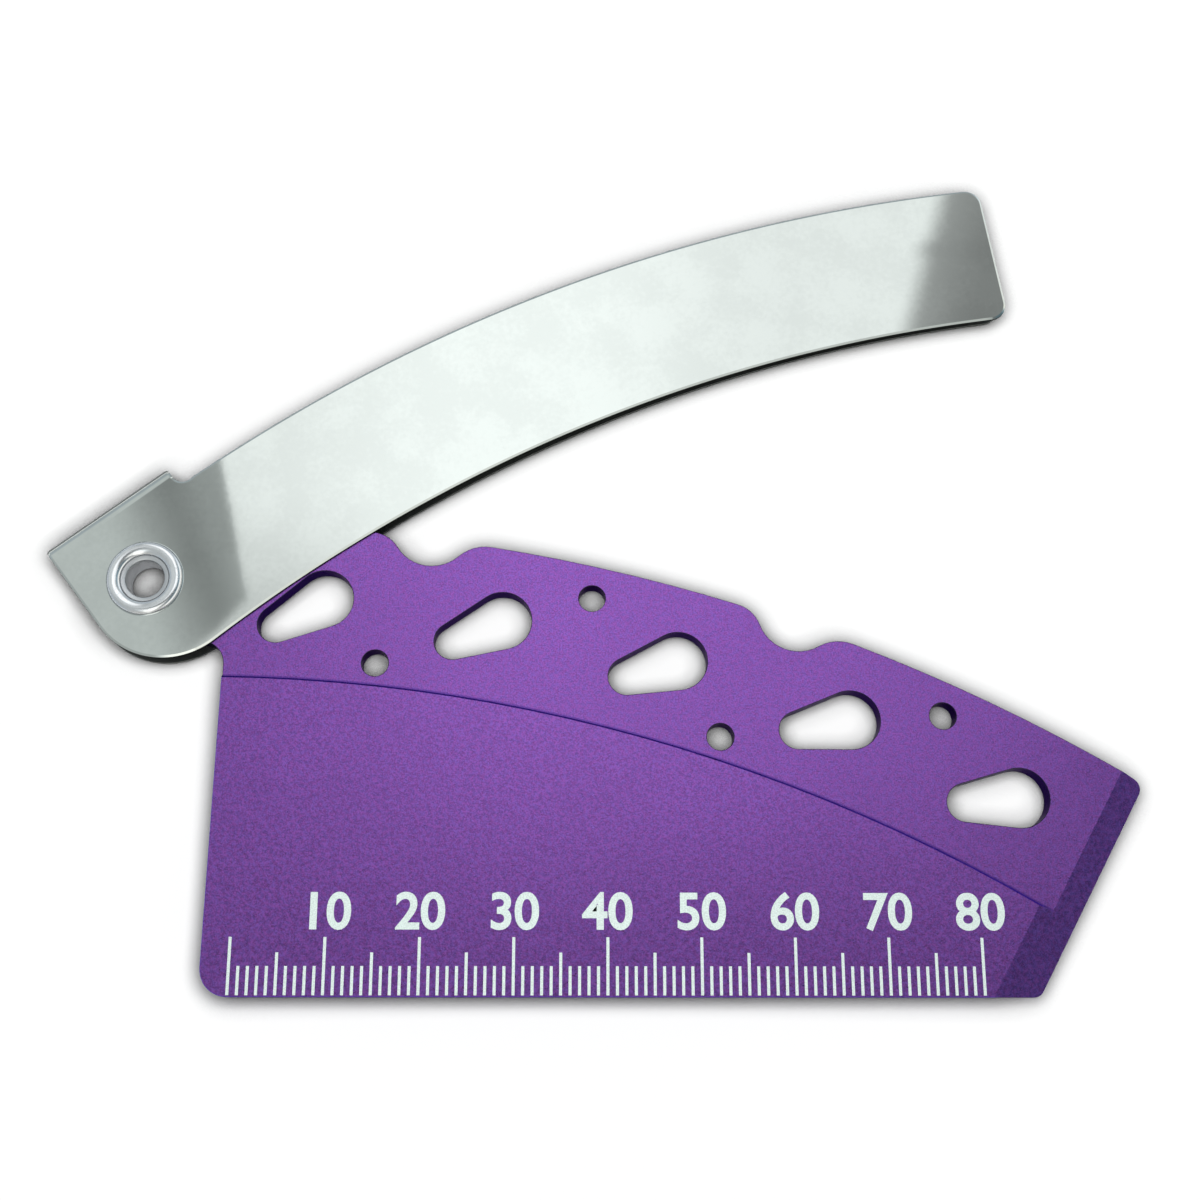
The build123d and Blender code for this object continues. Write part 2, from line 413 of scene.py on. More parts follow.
def steel_finish(steel, inner_face):
    """Polished spring steel: nearly a mirror, with faint clouds and a fine pebbled tone. On the
    leaves' inner faces, which are at a given height, it is rougher, as left by the rolling mill,
    and darkened by painted shade, and its sheared edge walls are rough and painted nearly black as shade."""
    material, tree, shader, position = new_material("spring_steel")
    make_metal(shader, (0.35, 0.35, 0.35, 1.0))
    cloud = grain(tree, position, 6 * MM, detail=4.0)
    pebble = grain(tree, position, 0.6 * MM)
    dark_cloud, light_cloud = 0.965, 1.035
    share = contrast(tree, mixed_grain(tree, cloud, pebble), 0.12)
    polished = between_shades(tree, share, steel, dark_cloud, light_cloud)

    height = size_along_z(tree, position)
    level = levelness(tree)
    wall_to_rim, wall_to_face = (0.4, 0.6), (0.5, 0.9)
    inside = ramp(tree, height, (inner_face, inner_face + 0.03 * MM), (1.0, 0.0))
    within_sheet = ramp(tree, height, (inner_face - 0.02 * MM, inner_face))
    # Painted shade: the edge walls are darkened nearly to black.
    edge_painted_shade = product(tree, ramp(tree, level, wall_to_rim, (1.0, 0.0)), within_sheet)
    # Painted shade: the inner faces between the leaves are darkened, the flat faces more than the fold.
    inner_fold_shade, inner_face_shade, darkest = 0.45, 0.8, 0.03
    inner_painted_shade = product(tree, inside, ramp(tree, level, wall_to_face, (inner_fold_shade, inner_face_shade)))
    darkened = compute(tree, "MAXIMUM", edge_painted_shade, inner_painted_shade)
    tint = blend_colours(tree, darkened, polished, shade(steel, darkest))

    polish, inner_roughness, sheared_roughness, bump_depth = 0.04, 0.4, 0.9, 0.002 * MM
    rolled = compute(tree, "MULTIPLY_ADD", inside, inner_roughness, polish)
    roughness = compute(tree, "MAXIMUM", rolled, product(tree, edge_painted_shade, sheared_roughness))
    finish_shader(tree, shader, tint, roughness, cloud, bump_depth)
    return material


def plating_finish(plating, hollow):
    """Plated rivet metal: softly polished, with turning marks round it and small scuffs, and
    duller inside, up to the radius of the hollow."""
    material, tree, shader, position = new_material("rivet_metal")
    make_metal(shader, WHITE)
    x, y, z = add_node(tree, "ShaderNodeSeparateXYZ", Vector=position).outputs
    radius = compute(tree, "SQRT", compute(tree, "ADD", product(tree, x, x), product(tree, y, y)))
    rings = add_node(tree, "ShaderNodeCombineXYZ", X=radius, Y=z)
    turning = grain(tree, rings.outputs[0], 0.09 * MM, detail=3.0)
    scuff = grain(tree, position, 0.4 * MM, detail=3.0)
    scuffed_noise, scuffed_shade, dull_shade = (0.55, 0.72), 0.9, 0.8
    worn = ramp(tree, scuff, scuffed_noise)
    outside = between_shades(tree, worn, plating, 1.0, scuffed_shade)
    inside = ramp(tree, radius, (hollow, hollow + 0.1 * MM), (1.0, 0.0))
    tint = blend_colours(tree, inside, outside, shade(plating, dull_shade))
    polish, scuffed_roughness, inner_roughness, bump_depth = 0.19, 0.29, 0.25, 0.0008 * MM
    outer_roughness = ramp(tree, worn, (0.0, 1.0), (polish, scuffed_roughness))
    roughness = compute(tree, "MULTIPLY_ADD", inside, inner_roughness, outer_roughness)
    finish_shader(tree, shader, tint, roughness, turning, bump_depth)
    return material


def marking_finish(marking):
    """Bare etched metal: pale, matt and a little speckled."""
    material, tree, shader, position = new_material("etched_marking")
    shader.inputs["Metallic"].default_value = 0.35
    fine = grain(tree, position, 0.16 * MM, detail=3.0)
    coarse = grain(tree, position, 0.8 * MM)
    dark_speck, light_speck = 0.86, 1.06
    tint = between_shades(tree, contrast(tree, fine, 0.15), marking, dark_speck, light_speck)
    smooth, rough, bump_depth = 0.45, 0.6, 0.01 * MM
    roughness = contrast(tree, coarse, 0.2, (smooth, rough))
    finish_shader(tree, shader, tint, roughness, fine, bump_depth)
    return material


def floor_finish(studio):
    """A plain floor that looks evenly white, with painted shade beside the tool.

    The lamp hangs by the camera and lights the floor at a slant, so the floor's tone grows as its
    distance from the camera, over the camera's height. Where that would pass white, the floor
    itself gives what is missing, but only where it is seen: straight, in a mirror or through
    glass. The shade is painted: it darkens both the floor's colour and the whiteness it gives, and
    it is the product of two: how much of the space straight above is free of the tool, and how
    much of the space towards the camera's foot is, over a reach that grows outwards. The way
    outwards is the root of the squared distance from the camera less its squared height over the
    middle plane."""
    material, tree, shader, position = new_material("floor")
    height = studio.camera_z
    camera_place = (studio.camera_x, studio.camera_y, height)
    apart = compute_vector(tree, "DISTANCE", position, camera_place)["Value"]
    tone = compute(tree, "DIVIDE", apart, height / studio.floor_white)
    tint = blend_colours(tree, compute(tree, "MINIMUM", tone, 1.0), BLACK, WHITE)
    missing = rest_of(tree, compute(tree, "DIVIDE", 1.0, compute(tree, "MAXIMUM", tone, 1.0)))

    # Painted shade: two ambient occlusion probes darken the floor beside the tool.
    shade_rays = {"samples": 3}
    contact = add_node(tree, "ShaderNodeAmbientOcclusion", shade_rays, Distance=studio.contact_reach)
    lean = studio.outer_lean
    leaning = compute_vector(
        tree, "MULTIPLY_ADD", position, (-lean, -lean, 0.0),
        (lean * studio.camera_x, lean * studio.camera_y, height),
    )["Vector"]
    to_foot = compute_vector(tree, "NORMALIZE", leaning)["Vector"]
    squared = compute(tree, "SUBTRACT", compute(tree, "POWER", apart, 2.0), height ** 2)
    outwards = compute(tree, "SQRT", compute(tree, "MAXIMUM", 0.0, squared))
    reach = compute(tree, "MULTIPLY_ADD", outwards, studio.outer_growth, studio.outer_reach)
    outer = add_node(tree, "ShaderNodeAmbientOcclusion", shade_rays, Distance=reach, Normal=to_foot)
    painted_floor_shade = product(
        tree, compute(tree, "POWER", contact.outputs["AO"], studio.contact_depth),
        compute(tree, "POWER", outer.outputs["AO"], studio.outer_depth),
    )

    rays = tree.nodes.new("ShaderNodeLightPath").outputs
    in_mirror_or_glass = compute(tree, "MAXIMUM", rays["Is Glossy Ray"], rays["Is Transmission Ray"])
    seen = compute(tree, "MAXIMUM", rays["Is Camera Ray"], in_mirror_or_glass)
    lift = product(tree, seen, painted_floor_shade, compute(tree, "ADD", missing, studio.floor_lift))
    feed(tree, shader.inputs["Base Color"], blend_colours(tree, painted_floor_shade, BLACK, tint))
    shader.inputs["Roughness"].default_value = 0.9
    shader.inputs["Specular IOR Level"].default_value = 0.0
    shader.inputs["Emission Color"].default_value = WHITE
    feed(tree, shader.inputs["Emission Strength"], lift)
    return material


def panel_finish(foot, reach, radiance):
    """The soft panel's light. It is laid out in slopes from the camera's foot, across in X and
    away in Y, each times the reach. It is dimmer past a leaning line with a small notch on its
    right, at its near end, towards its sides and low on its left."""
    material = bpy.data.materials.new("soft_panel")
    tree = empty_tree(material)
    position = tree.nodes.new("ShaderNodeTexCoord").outputs["Object"]
    slopes = add_node(
        tree, "ShaderNodeMapping", {"vector_type": "TEXTURE"},
        Vector=position, Location=(*foot, 0), Scale=(reach, reach, 1),
    )
    across, away, _ = add_node(tree, "ShaderNodeSeparateXYZ", Vector=slopes.outputs[0]).outputs

    notch_place, notch_half, notch_depth = 0.533, 0.011, 0.0045
    off_notch = distance_from(tree, away, notch_place)
    notch = ramp(tree, off_notch, (0.0, notch_half), (notch_depth, 0.0))
    line_lean, line_edge, line_near_end = 0.305, (0.080, 0.1006), (0.38, 0.46)
    dim_beside_line, dim_far_off = 0.62, 0.75
    off_line = compute(tree, "ADD", compute(tree, "MULTIPLY_ADD", away, -line_lean, across), notch)
    past_line = product(tree, ramp(tree, off_line, line_edge), ramp(tree, away, line_near_end))
    dimming = ramp(tree, off_line, (0.09, 0.14), (dim_beside_line, dim_far_off))
    right = rest_of(tree, product(tree, past_line, dimming))

    near_edge, near_light = (0.045, 0.125), 0.04
    near = ramp(tree, away, near_edge, (near_light, 1.0))
    brightest_across, side_edge, side_light = -0.04, (0.03, 0.19), 0.85
    off_brightest = distance_from(tree, across, brightest_across)
    sides = ramp(tree, off_brightest, side_edge, (1.0, side_light))
    low_edge, left_edge, corner_dimming = (0.24, 0.36), (-0.16, -0.11), 0.35
    low = ramp(tree, away, low_edge, (corner_dimming, 0.0))
    low_left = rest_of(tree, product(tree, low, ramp(tree, across, left_edge, (1.0, 0.0))))
    light = add_node(
        tree, "ShaderNodeEmission", Color=(0.98, 1.0, 0.99, 1.0),
        Strength=product(tree, right, near, sides, low_left, radiance),
    )
    add_node(tree, "ShaderNodeOutputMaterial", Surface=light.outputs[0])
    return material


def room_finish(tree, studio):
    """The room's light, by its direction. Overhead it is laid out in slopes, across in X and away
    in Y: a ceiling that is darker to the front, a brighter field past a leaning line on the left,
    with a dark gap along that line, and a bright field to the front. The walls below are brighter
    low on the right and to the front. They are cool, and warm to the front and the right, and the
    ceiling is neutral, and blue on the right. Matt surfaces get little of all this."""
    direction = tree.nodes.new("ShaderNodeTexCoord").outputs["Generated"]
    x, y, z = add_node(tree, "ShaderNodeSeparateXYZ", Vector=direction).outputs
    lowest_rise = 0.05
    rise = compute(tree, "MAXIMUM", z, lowest_rise)
    across = compute(tree, "DIVIDE", x, rise)
    away = compute(tree, "DIVIDE", y, rise)

    full, ceiling_front = studio.ceiling_light, 0.4
    ceiling = ramp(tree, away, (-0.1, 0.25), (ceiling_front * full, full))
    line_lean, line_place = 0.45, 0.1125
    gap_start, gap_end, light_before, light_past = (0.196, 0.222), (0.218, 0.280), 0.12, 0.42
    to_left = compute(tree, "MULTIPLY_ADD", across, -1.0, line_place)
    off_line = compute(tree, "MULTIPLY_ADD", away, -line_lean, to_left)
    before_gap = ramp(tree, off_line, gap_start, (light_before, 0.0))
    past_gap = ramp(tree, off_line, gap_end, (0.0, light_past))
    front_edge, front_left, front_right, front_light = (-0.45, -0.25), (-0.45, -0.15), (0.3, 0.55), 1.1
    front = product(
        tree, ramp(tree, away, front_edge, (front_light, 0.0)),
        ramp(tree, across, front_left), ramp(tree, across, front_right, (1.0, 0.0)),
    )
    lines = compute(tree, "ADD", before_gap, past_gap)
    overhead = compute(tree, "ADD", compute(tree, "ADD", ceiling, lines), front)

    right_edge, right_light, right_top = (0.35, 0.7), 0.6, (0.42, 0.58)
    right_part = ramp(tree, x, right_edge, (0.0, right_light))
    low_right = product(tree, right_part, ramp(tree, z, right_top, (1.0, 0.0)))
    walls_front, wall_top = 0.5, (0.42, 0.60)
    wall_light = compute(tree, "MAXIMUM", product(tree, front, walls_front), low_right)
    walls = compute(tree, "ADD", wall_light, studio.room_light)
    high = ramp(tree, z, wall_top)
    low_part = product(tree, rest_of(tree, high), walls)
    strength = compute(tree, "MULTIPLY_ADD", high, overhead, low_part)

    cool, warm = (0.86, 0.95, 1.0, 1.0), (1.0, 0.985, 0.92, 1.0)
    neutral, blue = (0.95, 1.0, 0.985, 1.0), (0.62, 0.88, 1.0, 1.0)
    warm_side, blue_side, front_fade = (-0.3, 0.6), (0.4, 0.65), (0.0, 1.2)
    warmth = ramp(tree, compute(tree, "SUBTRACT", x, y), warm_side)
    wall_tint = blend_colours(tree, warmth, cool, warm)
    ceiling_tint = blend_colours(tree, ramp(tree, x, blue_side), neutral, blue)
    ceiling_share = ramp(tree, front, front_fade, (high, 0.0))
    tint = blend_colours(tree, ceiling_share, wall_tint, ceiling_tint)

    kept_from_matt = 0.85
    matt = tree.nodes.new("ShaderNodeLightPath").outputs["Is Diffuse Ray"]
    kept = compute(tree, "MULTIPLY_ADD", matt, -kept_from_matt, 1.0)
    back = add_node(tree, "ShaderNodeBackground", Color=tint, Strength=product(tree, strength, kept))
    add_node(tree, "ShaderNodeOutputWorld", Surface=back.outputs[0])


# Shapes


def arc(centre, radius, start, end, count):
    """Points on a circle, in even steps of angle from one angle to another."""
    turn = np.linspace(start, end, count)
    return np.asarray(centre) + radius * np.stack((np.cos(turn), np.sin(turn)), axis=1)


def turned(points, by):
    """Points turned about the pivot."""
    cosine, sine = math.cos(by), math.sin(by)
    return np.asarray(points) @ np.array(((cosine, sine), (-sine, cosine)))


def heading(vector):
    """A flat vector's angle from +X."""
    return math.atan2(vector[1], vector[0])


def on_circle(start, direction, centre, radius):
    """Where a line, followed from a start along a unit direction, leaves or meets a circle.
    With d the vector from centre to start, the length is the forward root of |d + t u| = radius."""
    away = np.asarray(start) - np.asarray(centre)
    along = away @ direction
    reach = math.sqrt(along ** 2 - away @ away + radius ** 2)
    return np.asarray(start) + direction * (reach - along)


def leaf_outline(blade, skew):
    """One leaf's outline, clockwise from the fold's far end to its near end: the relief notch, the
    outer arc, a corner, the straight tip, a corner, the inner arc and the root's large corner.
    Each corner's circle has its centre where the two edges, both moved inward by its radius, meet."""
    outer = turned(blade.outer_centre, skew)
    inner = turned(blade.inner_centre, skew)
    rise = blade.tip_angle + skew
    upward = np.array((math.cos(rise), math.sin(rise)))
    inward = np.array((-upward[1], upward[0]))
    corner = blade.tip_radius
    well_below = 30 * MM
    middle = turned(blade.tip_place, skew) + inward * corner
    top = on_circle(middle, upward, outer, blade.outer_radius - corner)
    bottom = on_circle(middle - upward * well_below, upward, inner, blade.inner_radius + corner)
    root_start = np.array((blade.root_left + blade.root_radius, -well_below))
    root = on_circle(root_start, np.array((0.0, 1.0)), inner, blade.inner_radius + blade.root_radius)

    relief = np.array(blade.relief_centre)
    span = relief - outer
    apart = math.hypot(*span)
    cut = math.acos((apart ** 2 + blade.relief_radius ** 2 - blade.outer_radius ** 2)
                    / (2 * apart * blade.relief_radius))
    relief_end = heading(-span) + cut
    notch_end = relief + blade.relief_radius * np.array((math.cos(relief_end), math.sin(relief_end)))
    tip_turn = rise - math.pi / 2
    relief_points, long_points, corner_points, root_points = 20, 120, 16, 40
    runs = (
        arc(relief, blade.relief_radius, -math.pi, relief_end, relief_points),
        arc(outer, blade.outer_radius, heading(notch_end - outer), heading(top - outer), long_points)[1:],
        arc(top, corner, heading(top - outer), tip_turn, corner_points)[1:],
        arc(bottom, corner, tip_turn, heading(inner - bottom), corner_points),
        arc(inner, blade.inner_radius, heading(bottom - inner), heading(root - inner), long_points)[1:],
        arc(root, blade.root_radius, heading(inner - root), -math.pi, root_points)[1:],
        ((blade.root_left, blade.fold_start),),
    )
    return np.concatenate(runs)


def mitres(outline, before, after):
    """For each point of an outline, the vector that moves both of its edges out by one.
    It is the sum of the two edges' outward normals, over one plus their product."""
    line = np.concatenate(((before,), outline, (after,)))
    edges = np.diff(line, axis=0)
    edges /= np.linalg.norm(edges, axis=1)[:, None]
    normals = np.stack((-edges[:, 1], edges[:, 0]), axis=1)
    first, second = normals[:-1], normals[1:]
    return (first + second) / (1 + np.sum(first * second, axis=1))[:, None]


def filled(loop, hole):
    """Triangles that fill a flat loop round a hole, as rows into loop and then hole."""
    flat = [[(x, y, 0.0) for x, y in ring] for ring in (loop, hole)]
    return np.array(tessellate_polygon(flat))


def faced_up(points, triangles, up=True):
    """The triangles, each wound so that it faces up or down."""
    a, b, c = (points[triangles[:, i]] for i in range(3))
    sign = np.cross(b - a, c - a)
    wrong = (sign < 0) if up else (sign > 0)
    triangles[wrong] = triangles[wrong][:, ::-1]
    return triangles


def ring_quads(rows, columns, closed_rows=False):
    """Faces of a grid of points whose columns close round into a ring, as its rows may too."""
    count = rows if closed_rows else rows - 1
    row, column = np.meshgrid(np.arange(count), np.arange(columns), indexing="ij")
    following = (column + 1) % columns
    below = (row + 1) % rows
    return np.stack(
        (row * columns + column, row * columns + following,
         below * columns + following, below * columns + column), axis=-1
    ).reshape(-1, 4)


def at_height(flat, height):
    """Flat points, all put at one height."""
    return np.column_stack((flat, np.full(len(flat), height)))


def make_piece(name, points, groups, material, body):
    """A mesh object from points and groups of faces, each group smooth or flat. It rides a body."""
    mesh = bpy.data.meshes.new(name)
    faces = [face for group, _ in groups for face in group.tolist()]
    smooth = np.concatenate([np.full(len(group), flag) for group, flag in groups])
    mesh.from_pydata(points.tolist(), [], faces)
    mesh.update()
    mesh.set_sharp_from_angle(angle=SHARP_ANGLE)
    mesh.polygons.foreach_set("use_smooth", smooth)
    if mesh.validate():
        raise RuntimeError(f"{name} has faces that Blender won't keep")
    mesh.materials.append(material)
    piece = bpy.data.objects.new(name, mesh)
    bpy.context.scene.collection.objects.link(piece)
    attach(piece, body)
    return piece


def sheet_path(blade, fold_rows):
    """The sheet's edge as one closed path: round the upper leaf, round the fold's near end in a
    number of rows, back round the lower leaf, and round the fold's far end. Each place has an
    outward vector, and a turn: none on the upper leaf, half a turn on the lower one, and between
    them on the fold, where its steps are finest at both ends."""
    half_turn = np.pi * (1 - np.cos(np.linspace(0, np.pi, fold_rows + 2)[1:-1])) / 2
    up_to_fold = (0.0, 1 * MM)
    leaves = []
    for skew in (0.0, blade.lower_skew):
        outline = leaf_outline(blade, skew)
        leaves.append((outline, mitres(outline, outline[0] + up_to_fold, outline[-1] + up_to_fold)))
    (upper, upper_out), (lower, lower_out) = leaves
    near = np.tile((blade.root_left, blade.fold_start), (fold_rows, 1))
    far = np.tile((blade.relief_centre[0] - blade.relief_radius, blade.fold_start), (fold_rows, 1))
    path = np.concatenate((upper, near, lower[::-1], far))
    out = np.concatenate((
        upper_out, np.tile((-1.0, 0.0), (fold_rows, 1)),
        lower_out[::-1], np.tile((1.0, 0.0), (fold_rows, 1)),
    ))
    turn = np.concatenate((
        np.zeros(len(upper)), half_turn, np.full(len(lower), np.pi), half_turn[::-1],
    ))
    return path, out, turn, len(upper), len(lower)


def folded_sheet(blade):
    """The blades' points and faces.

    A short profile, which slopes off at the outer face, is carried along the path of the sheet's
    edge. A point of the profile has an inset from the edge and a radius from the middle plane,
    which puts it at the place less the inset, moved by the radius times the sine of the turn in Y
    and times its cosine in Z. Each leaf's two faces are filled round the eyelet's hole, whose wall
    joins them, and the fold is filled from its near end's rows to its far end's."""
    fold_rows = 30
    path, out, turn, upper_size, lower_size = sheet_path(blade, fold_rows)
    stations = len(path)
    face = blade.gap_half + blade.thickness
    small = blade.inner_break
    inset = np.array((blade.rim_width, small / 2, 0.0, 0.0, small))
    radius = np.array((
        face, face - blade.rim_drop, face - blade.rim_drop - small,
        blade.gap_half + small, blade.gap_half,
    ))
    flat = path[None] - inset[:, None, None] * out[None]
    rim = np.stack((
        flat[..., 0],
        flat[..., 1] + radius[:, None] * np.sin(turn),
        radius[:, None] * np.cos(turn),
    ), axis=-1)
    points = [rim.reshape(-1, 3)]
    groups = [(ring_quads(len(inset), stations), True)]

    hole_points = 64
    hole = arc((0.0, 0.0), blade.hole_radius, 0, 2 * np.pi, hole_points + 1)[:-1]
    outer_row, inner_row = 0, len(inset) - 1
    total = len(inset) * stations
    lower_start = upper_size + fold_rows
    for side, start, size in ((1, 0, upper_size), (-1, lower_start, lower_size)):
        rings = []
        for row, height in ((outer_row, face), (inner_row, blade.gap_half)):
            loop = flat[row, start:start + size]
            ring = total + np.arange(hole_points)
            both = np.concatenate((loop, hole))
            triangles = faced_up(both, filled(loop, hole), up=(side > 0) == (row == outer_row))
            index = np.concatenate((row * stations + start + np.arange(size), ring))
            points.append(at_height(hole, side * height))
            groups.append((index[triangles], False))
            rings.append(ring)
            total += hole_points
        outside, inside = rings if side > 0 else rings[::-1]
        wall = np.stack((outside, inside, np.roll(inside, -1), np.roll(outside, -1)), axis=1)
        groups.append((wall, True))

    fold = np.arange(fold_rows)
    far_start = lower_start + lower_size
    near_rows = np.concatenate(((upper_size - 1,), upper_size + fold, (lower_start,)))
    far_rows = np.concatenate(((0,), far_start + fold[::-1], (far_start - 1,)))
    for row in (outer_row, inner_row):
        near_line, far_line = row * stations + near_rows, row * stations + far_rows
        strip = np.stack((near_line[:-1], far_line[:-1], far_line[1:], near_line[1:]), axis=1)
        groups.append((strip if row == outer_row else strip[:, ::-1], True))

    points = np.concatenate(points)
    points[:, :2] = turned(points[:, :2], blade.open_angle)
    return points, groups


def eyelet_section(size, face):
    """The rivet wall's closed outline as radius and height: up the barrel, out under the rim,
    round the roll to its crest, down the funnel to its foot and over the shelf into the bore, and
    the same mirrored below. The roll's circle stands on the leaf's face, and the funnel is a
    quarter of an ellipse from the crest to the foot. Each half of the bore has two shallow marks,
    and each of them runs from one share of the half's length to another."""
    roll = np.array((size.crest, face))
    roll_radius = size.rim - size.crest
    hollow = roll_radius - size.wall
    foot, lip = np.array(size.foot), np.array(size.lip)
    hollow_points, roll_points, funnel_points = 12, 16, 20
    bend = np.linspace(0, np.pi / 2, funnel_points)[1:]
    reach = roll + (0, roll_radius) - foot
    funnel = foot + reach * np.column_stack((1 - np.sin(bend), np.cos(bend)))
    shelf_ease = (lip - foot) * 0.1
    mark_ends = (0.95, 0.9, 0.62, 0.57)
    marks = np.repeat(mark_ends, 2) * size.bore_half
    depths = np.tile((0.0, 1.0, 1.0, 0.0), 2) * size.turning
    half = np.concatenate((
        ((size.barrel, 0.0), (size.barrel, face)),
        arc(roll, hollow, math.pi, 0, hollow_points),
        arc(roll, roll_radius, 0, math.pi / 2, roll_points),
        funnel,
        (foot + shelf_ease, lip - shelf_ease, lip - size.lip_round),
        ((size.bore, size.bore_half),),
        np.column_stack((size.bore + depths, marks)),
        ((size.bore, 0.0),),
    ))
    below = half[1:-1] * (1, -1)
    return np.concatenate((half, below[::-1]))


def text_faces(text, size, weight):
    """A number's points and triangles in its own flat place, centred in X. Its strokes are
    thickened by a share of its size."""
    curve = bpy.data.curves.new("rule_number", "FONT")
    curve.body = text
    curve.size = size
    curve.align_x = "CENTER"
    curve.resolution_u = 6
    curve.offset = size * weight
    letters = bpy.data.objects.new("rule_number", curve)
    bpy.context.scene.collection.objects.link(letters)
    bpy.context.view_layer.update()
    mesh = bpy.data.meshes.new_from_object(letters)
    mesh.calc_loop_triangles()
    points = np.empty(len(mesh.vertices) * 3)
    mesh.vertices.foreach_get("co", points)
    triangles = np.empty(len(mesh.loop_triangles) * 3, int)
    mesh.loop_triangles.foreach_get("vertices", triangles)
    bpy.data.objects.remove(letters)
    bpy.data.curves.remove(curve)
    bpy.data.meshes.remove(mesh)
    return points.reshape(-1, 3)[:, :2], triangles.reshape(-1, 3)


# Operators


class GAUGE_OT_stage(bpy.types.Operator):
    """Sets the camera, the pale floor, the soft panel, the lamp and the room's light"""

    bl_idname = "gauge.stage"
    bl_label = "Stage"

    def execute(self, context):
        studio = context.scene.gauge_studio
        self.add_camera(context, studio)
        self.add_floor(context, studio)
        self.add_panel(context, studio)
        self.add_lamp(context, studio)
        self.light_room(context, studio)
        context.scene.view_settings.view_transform = "Standard"
        return {"FINISHED"}

    def add_camera(self, context, studio):
        """The camera, over the tool."""
        data = bpy.data.cameras.new("camera")
        data.sensor_width = 36
        data.lens = studio.lens
        data.clip_start = 10 * MM
        camera = bpy.data.objects.new("camera", data)
        context.scene.collection.objects.link(camera)
        camera_place = Vector((studio.camera_x, studio.camera_y, studio.camera_z))
        turn = Euler((studio.camera_tip, studio.camera_lean, 0.0))
        camera.matrix_world = Matrix.LocRotScale(camera_place, turn, None)
        context.scene.camera = camera

    def add_floor(self, context, studio):
        """A wide pale sheet under the tool."""
        half = studio.floor_size / 2
        level = CAD_BOX[0].z - studio.floor_gap
        mesh = bpy.data.meshes.new("floor")
        corners = [(x * half, y * half, level) for x, y in ((-1, -1), (1, -1), (1, 1), (-1, 1))]
        mesh.from_pydata(corners, [], [(0, 1, 2, 3)])
        mesh.materials.append(floor_finish(studio))
        floor = bpy.data.objects.new("floor", mesh)
        context.scene.collection.objects.link(floor)

    def add_panel(self, context, studio):
        """A flat soft panel over the tool. Seen in a level mirror, a point of the leaf shows the
        panel point whose distance from the camera's foot is larger by the two heights' sum over
        the camera's, so the outline is given as slopes from the camera's foot."""
        slopes = np.array((
            (-0.26, 0.01), (-0.26, 0.225), (-0.226, 0.255), (-0.209, 0.275), (-0.232, 0.371),
            (-0.30, 0.65), (-0.42, 1.15), (0.50, 1.15), (0.36, 0.65), (0.34, 0.01),
        ))
        reach = studio.panel_height + studio.camera_z
        foot = np.array((studio.camera_x, studio.camera_y))
        points = at_height(foot + slopes * reach, studio.panel_height)
        mesh = bpy.data.meshes.new("soft_panel")
        mesh.from_pydata(points.tolist(), [], [tuple(range(len(points)))])
        mesh.materials.append(panel_finish(foot, reach, studio.panel_light))
        panel = bpy.data.objects.new("soft_panel", mesh)
        context.scene.collection.objects.link(panel)
        panel.visible_camera = False
        panel.visible_diffuse = False
        panel.visible_shadow = False

    def add_lamp(self, context, studio):
        """A soft round lamp about the camera, which lights the floor evenly and isn't seen in the
        metal. Its light doesn't weaken with distance, and the floor's tone makes up for its slant."""
        data = bpy.data.lights.new("broad_lamp", "POINT")
        data.shadow_soft_size = studio.lamp_width / 2
        data.energy = studio.lamp_power
        tree = empty_tree(data)
        falloff = add_node(tree, "ShaderNodeLightFalloff", Strength=1.0)
        light = add_node(tree, "ShaderNodeEmission", Strength=falloff.outputs["Constant"])
        add_node(tree, "ShaderNodeOutputLight", Surface=light.outputs[0])
        lamp = bpy.data.objects.new("broad_lamp", data)
        lamp.location = (studio.camera_x, studio.camera_y + studio.lamp_back, studio.camera_z)
        lamp.visible_glossy = False
        lamp.visible_camera = False
        context.scene.collection.objects.link(lamp)

    def light_room(self, context, studio):
        """The room all round, which shows in the metal."""
        world = bpy.data.worlds.new("room")
        context.scene.world = world
        room_finish(empty_tree(world), studio)


class GAUGE_OT_plate(bpy.types.Operator):
    """Gives the plate its anodised finish"""

    bl_idname = "gauge.plate"
    bl_label = "Plate"

    def execute(self, context):
        scene = context.scene
        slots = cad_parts["body_plate"].material_slots
        if not slots:
            raise RuntimeError("The plate has no material slot for its finish")
        finish = anodised_finish(scene.gauge_finishes, scene.gauge_blades.gap_half)
        for slot in slots:
            slot.material = finish
        return {"FINISHED"}


class GAUGE_OT_blades(bpy.types.Operator):
    """Makes the folded steel sheet with its two leaves"""

    bl_idname = "gauge.blades"
    bl_label = "Blades"

    def execute(self, context):
        blade = context.scene.gauge_blades
        finish = steel_finish(context.scene.gauge_finishes.steel, blade.gap_half)
        points, groups = folded_sheet(blade)
        piece = make_piece("steel_blades", points, groups, finish, "blades")
        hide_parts("feeler_blades")
        return {"FINISHED"}


class GAUGE_OT_eyelet(bpy.types.Operator):
    """Makes the hollow rivet: its wall's outline carried round the pivot's axis"""

    bl_idname = "gauge.eyelet"
    bl_label = "Eyelet"

    def execute(self, context):
        size = context.scene.gauge_eyelet
        blade = context.scene.gauge_blades
        section = eyelet_section(size, blade.gap_half + blade.thickness)
        turn = np.linspace(0, 2 * np.pi, size.sides, endpoint=False)
        radius, height = section[:, :1], section[:, 1:]
        points = np.stack((
            radius * np.cos(turn), radius * np.sin(turn),
            np.broadcast_to(height, (len(section), len(turn))),
        ), axis=-1).reshape(-1, 3)
        faces = ring_quads(len(section), len(turn), closed_rows=True)[:, ::-1]
        finish = plating_finish(context.scene.gauge_finishes.plating, size.foot[0])
        piece = make_piece("rivet_eyelet", points, [(faces, True)], finish, "blades")
        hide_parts("pivot_eyelet")
        return {"FINISHED"}


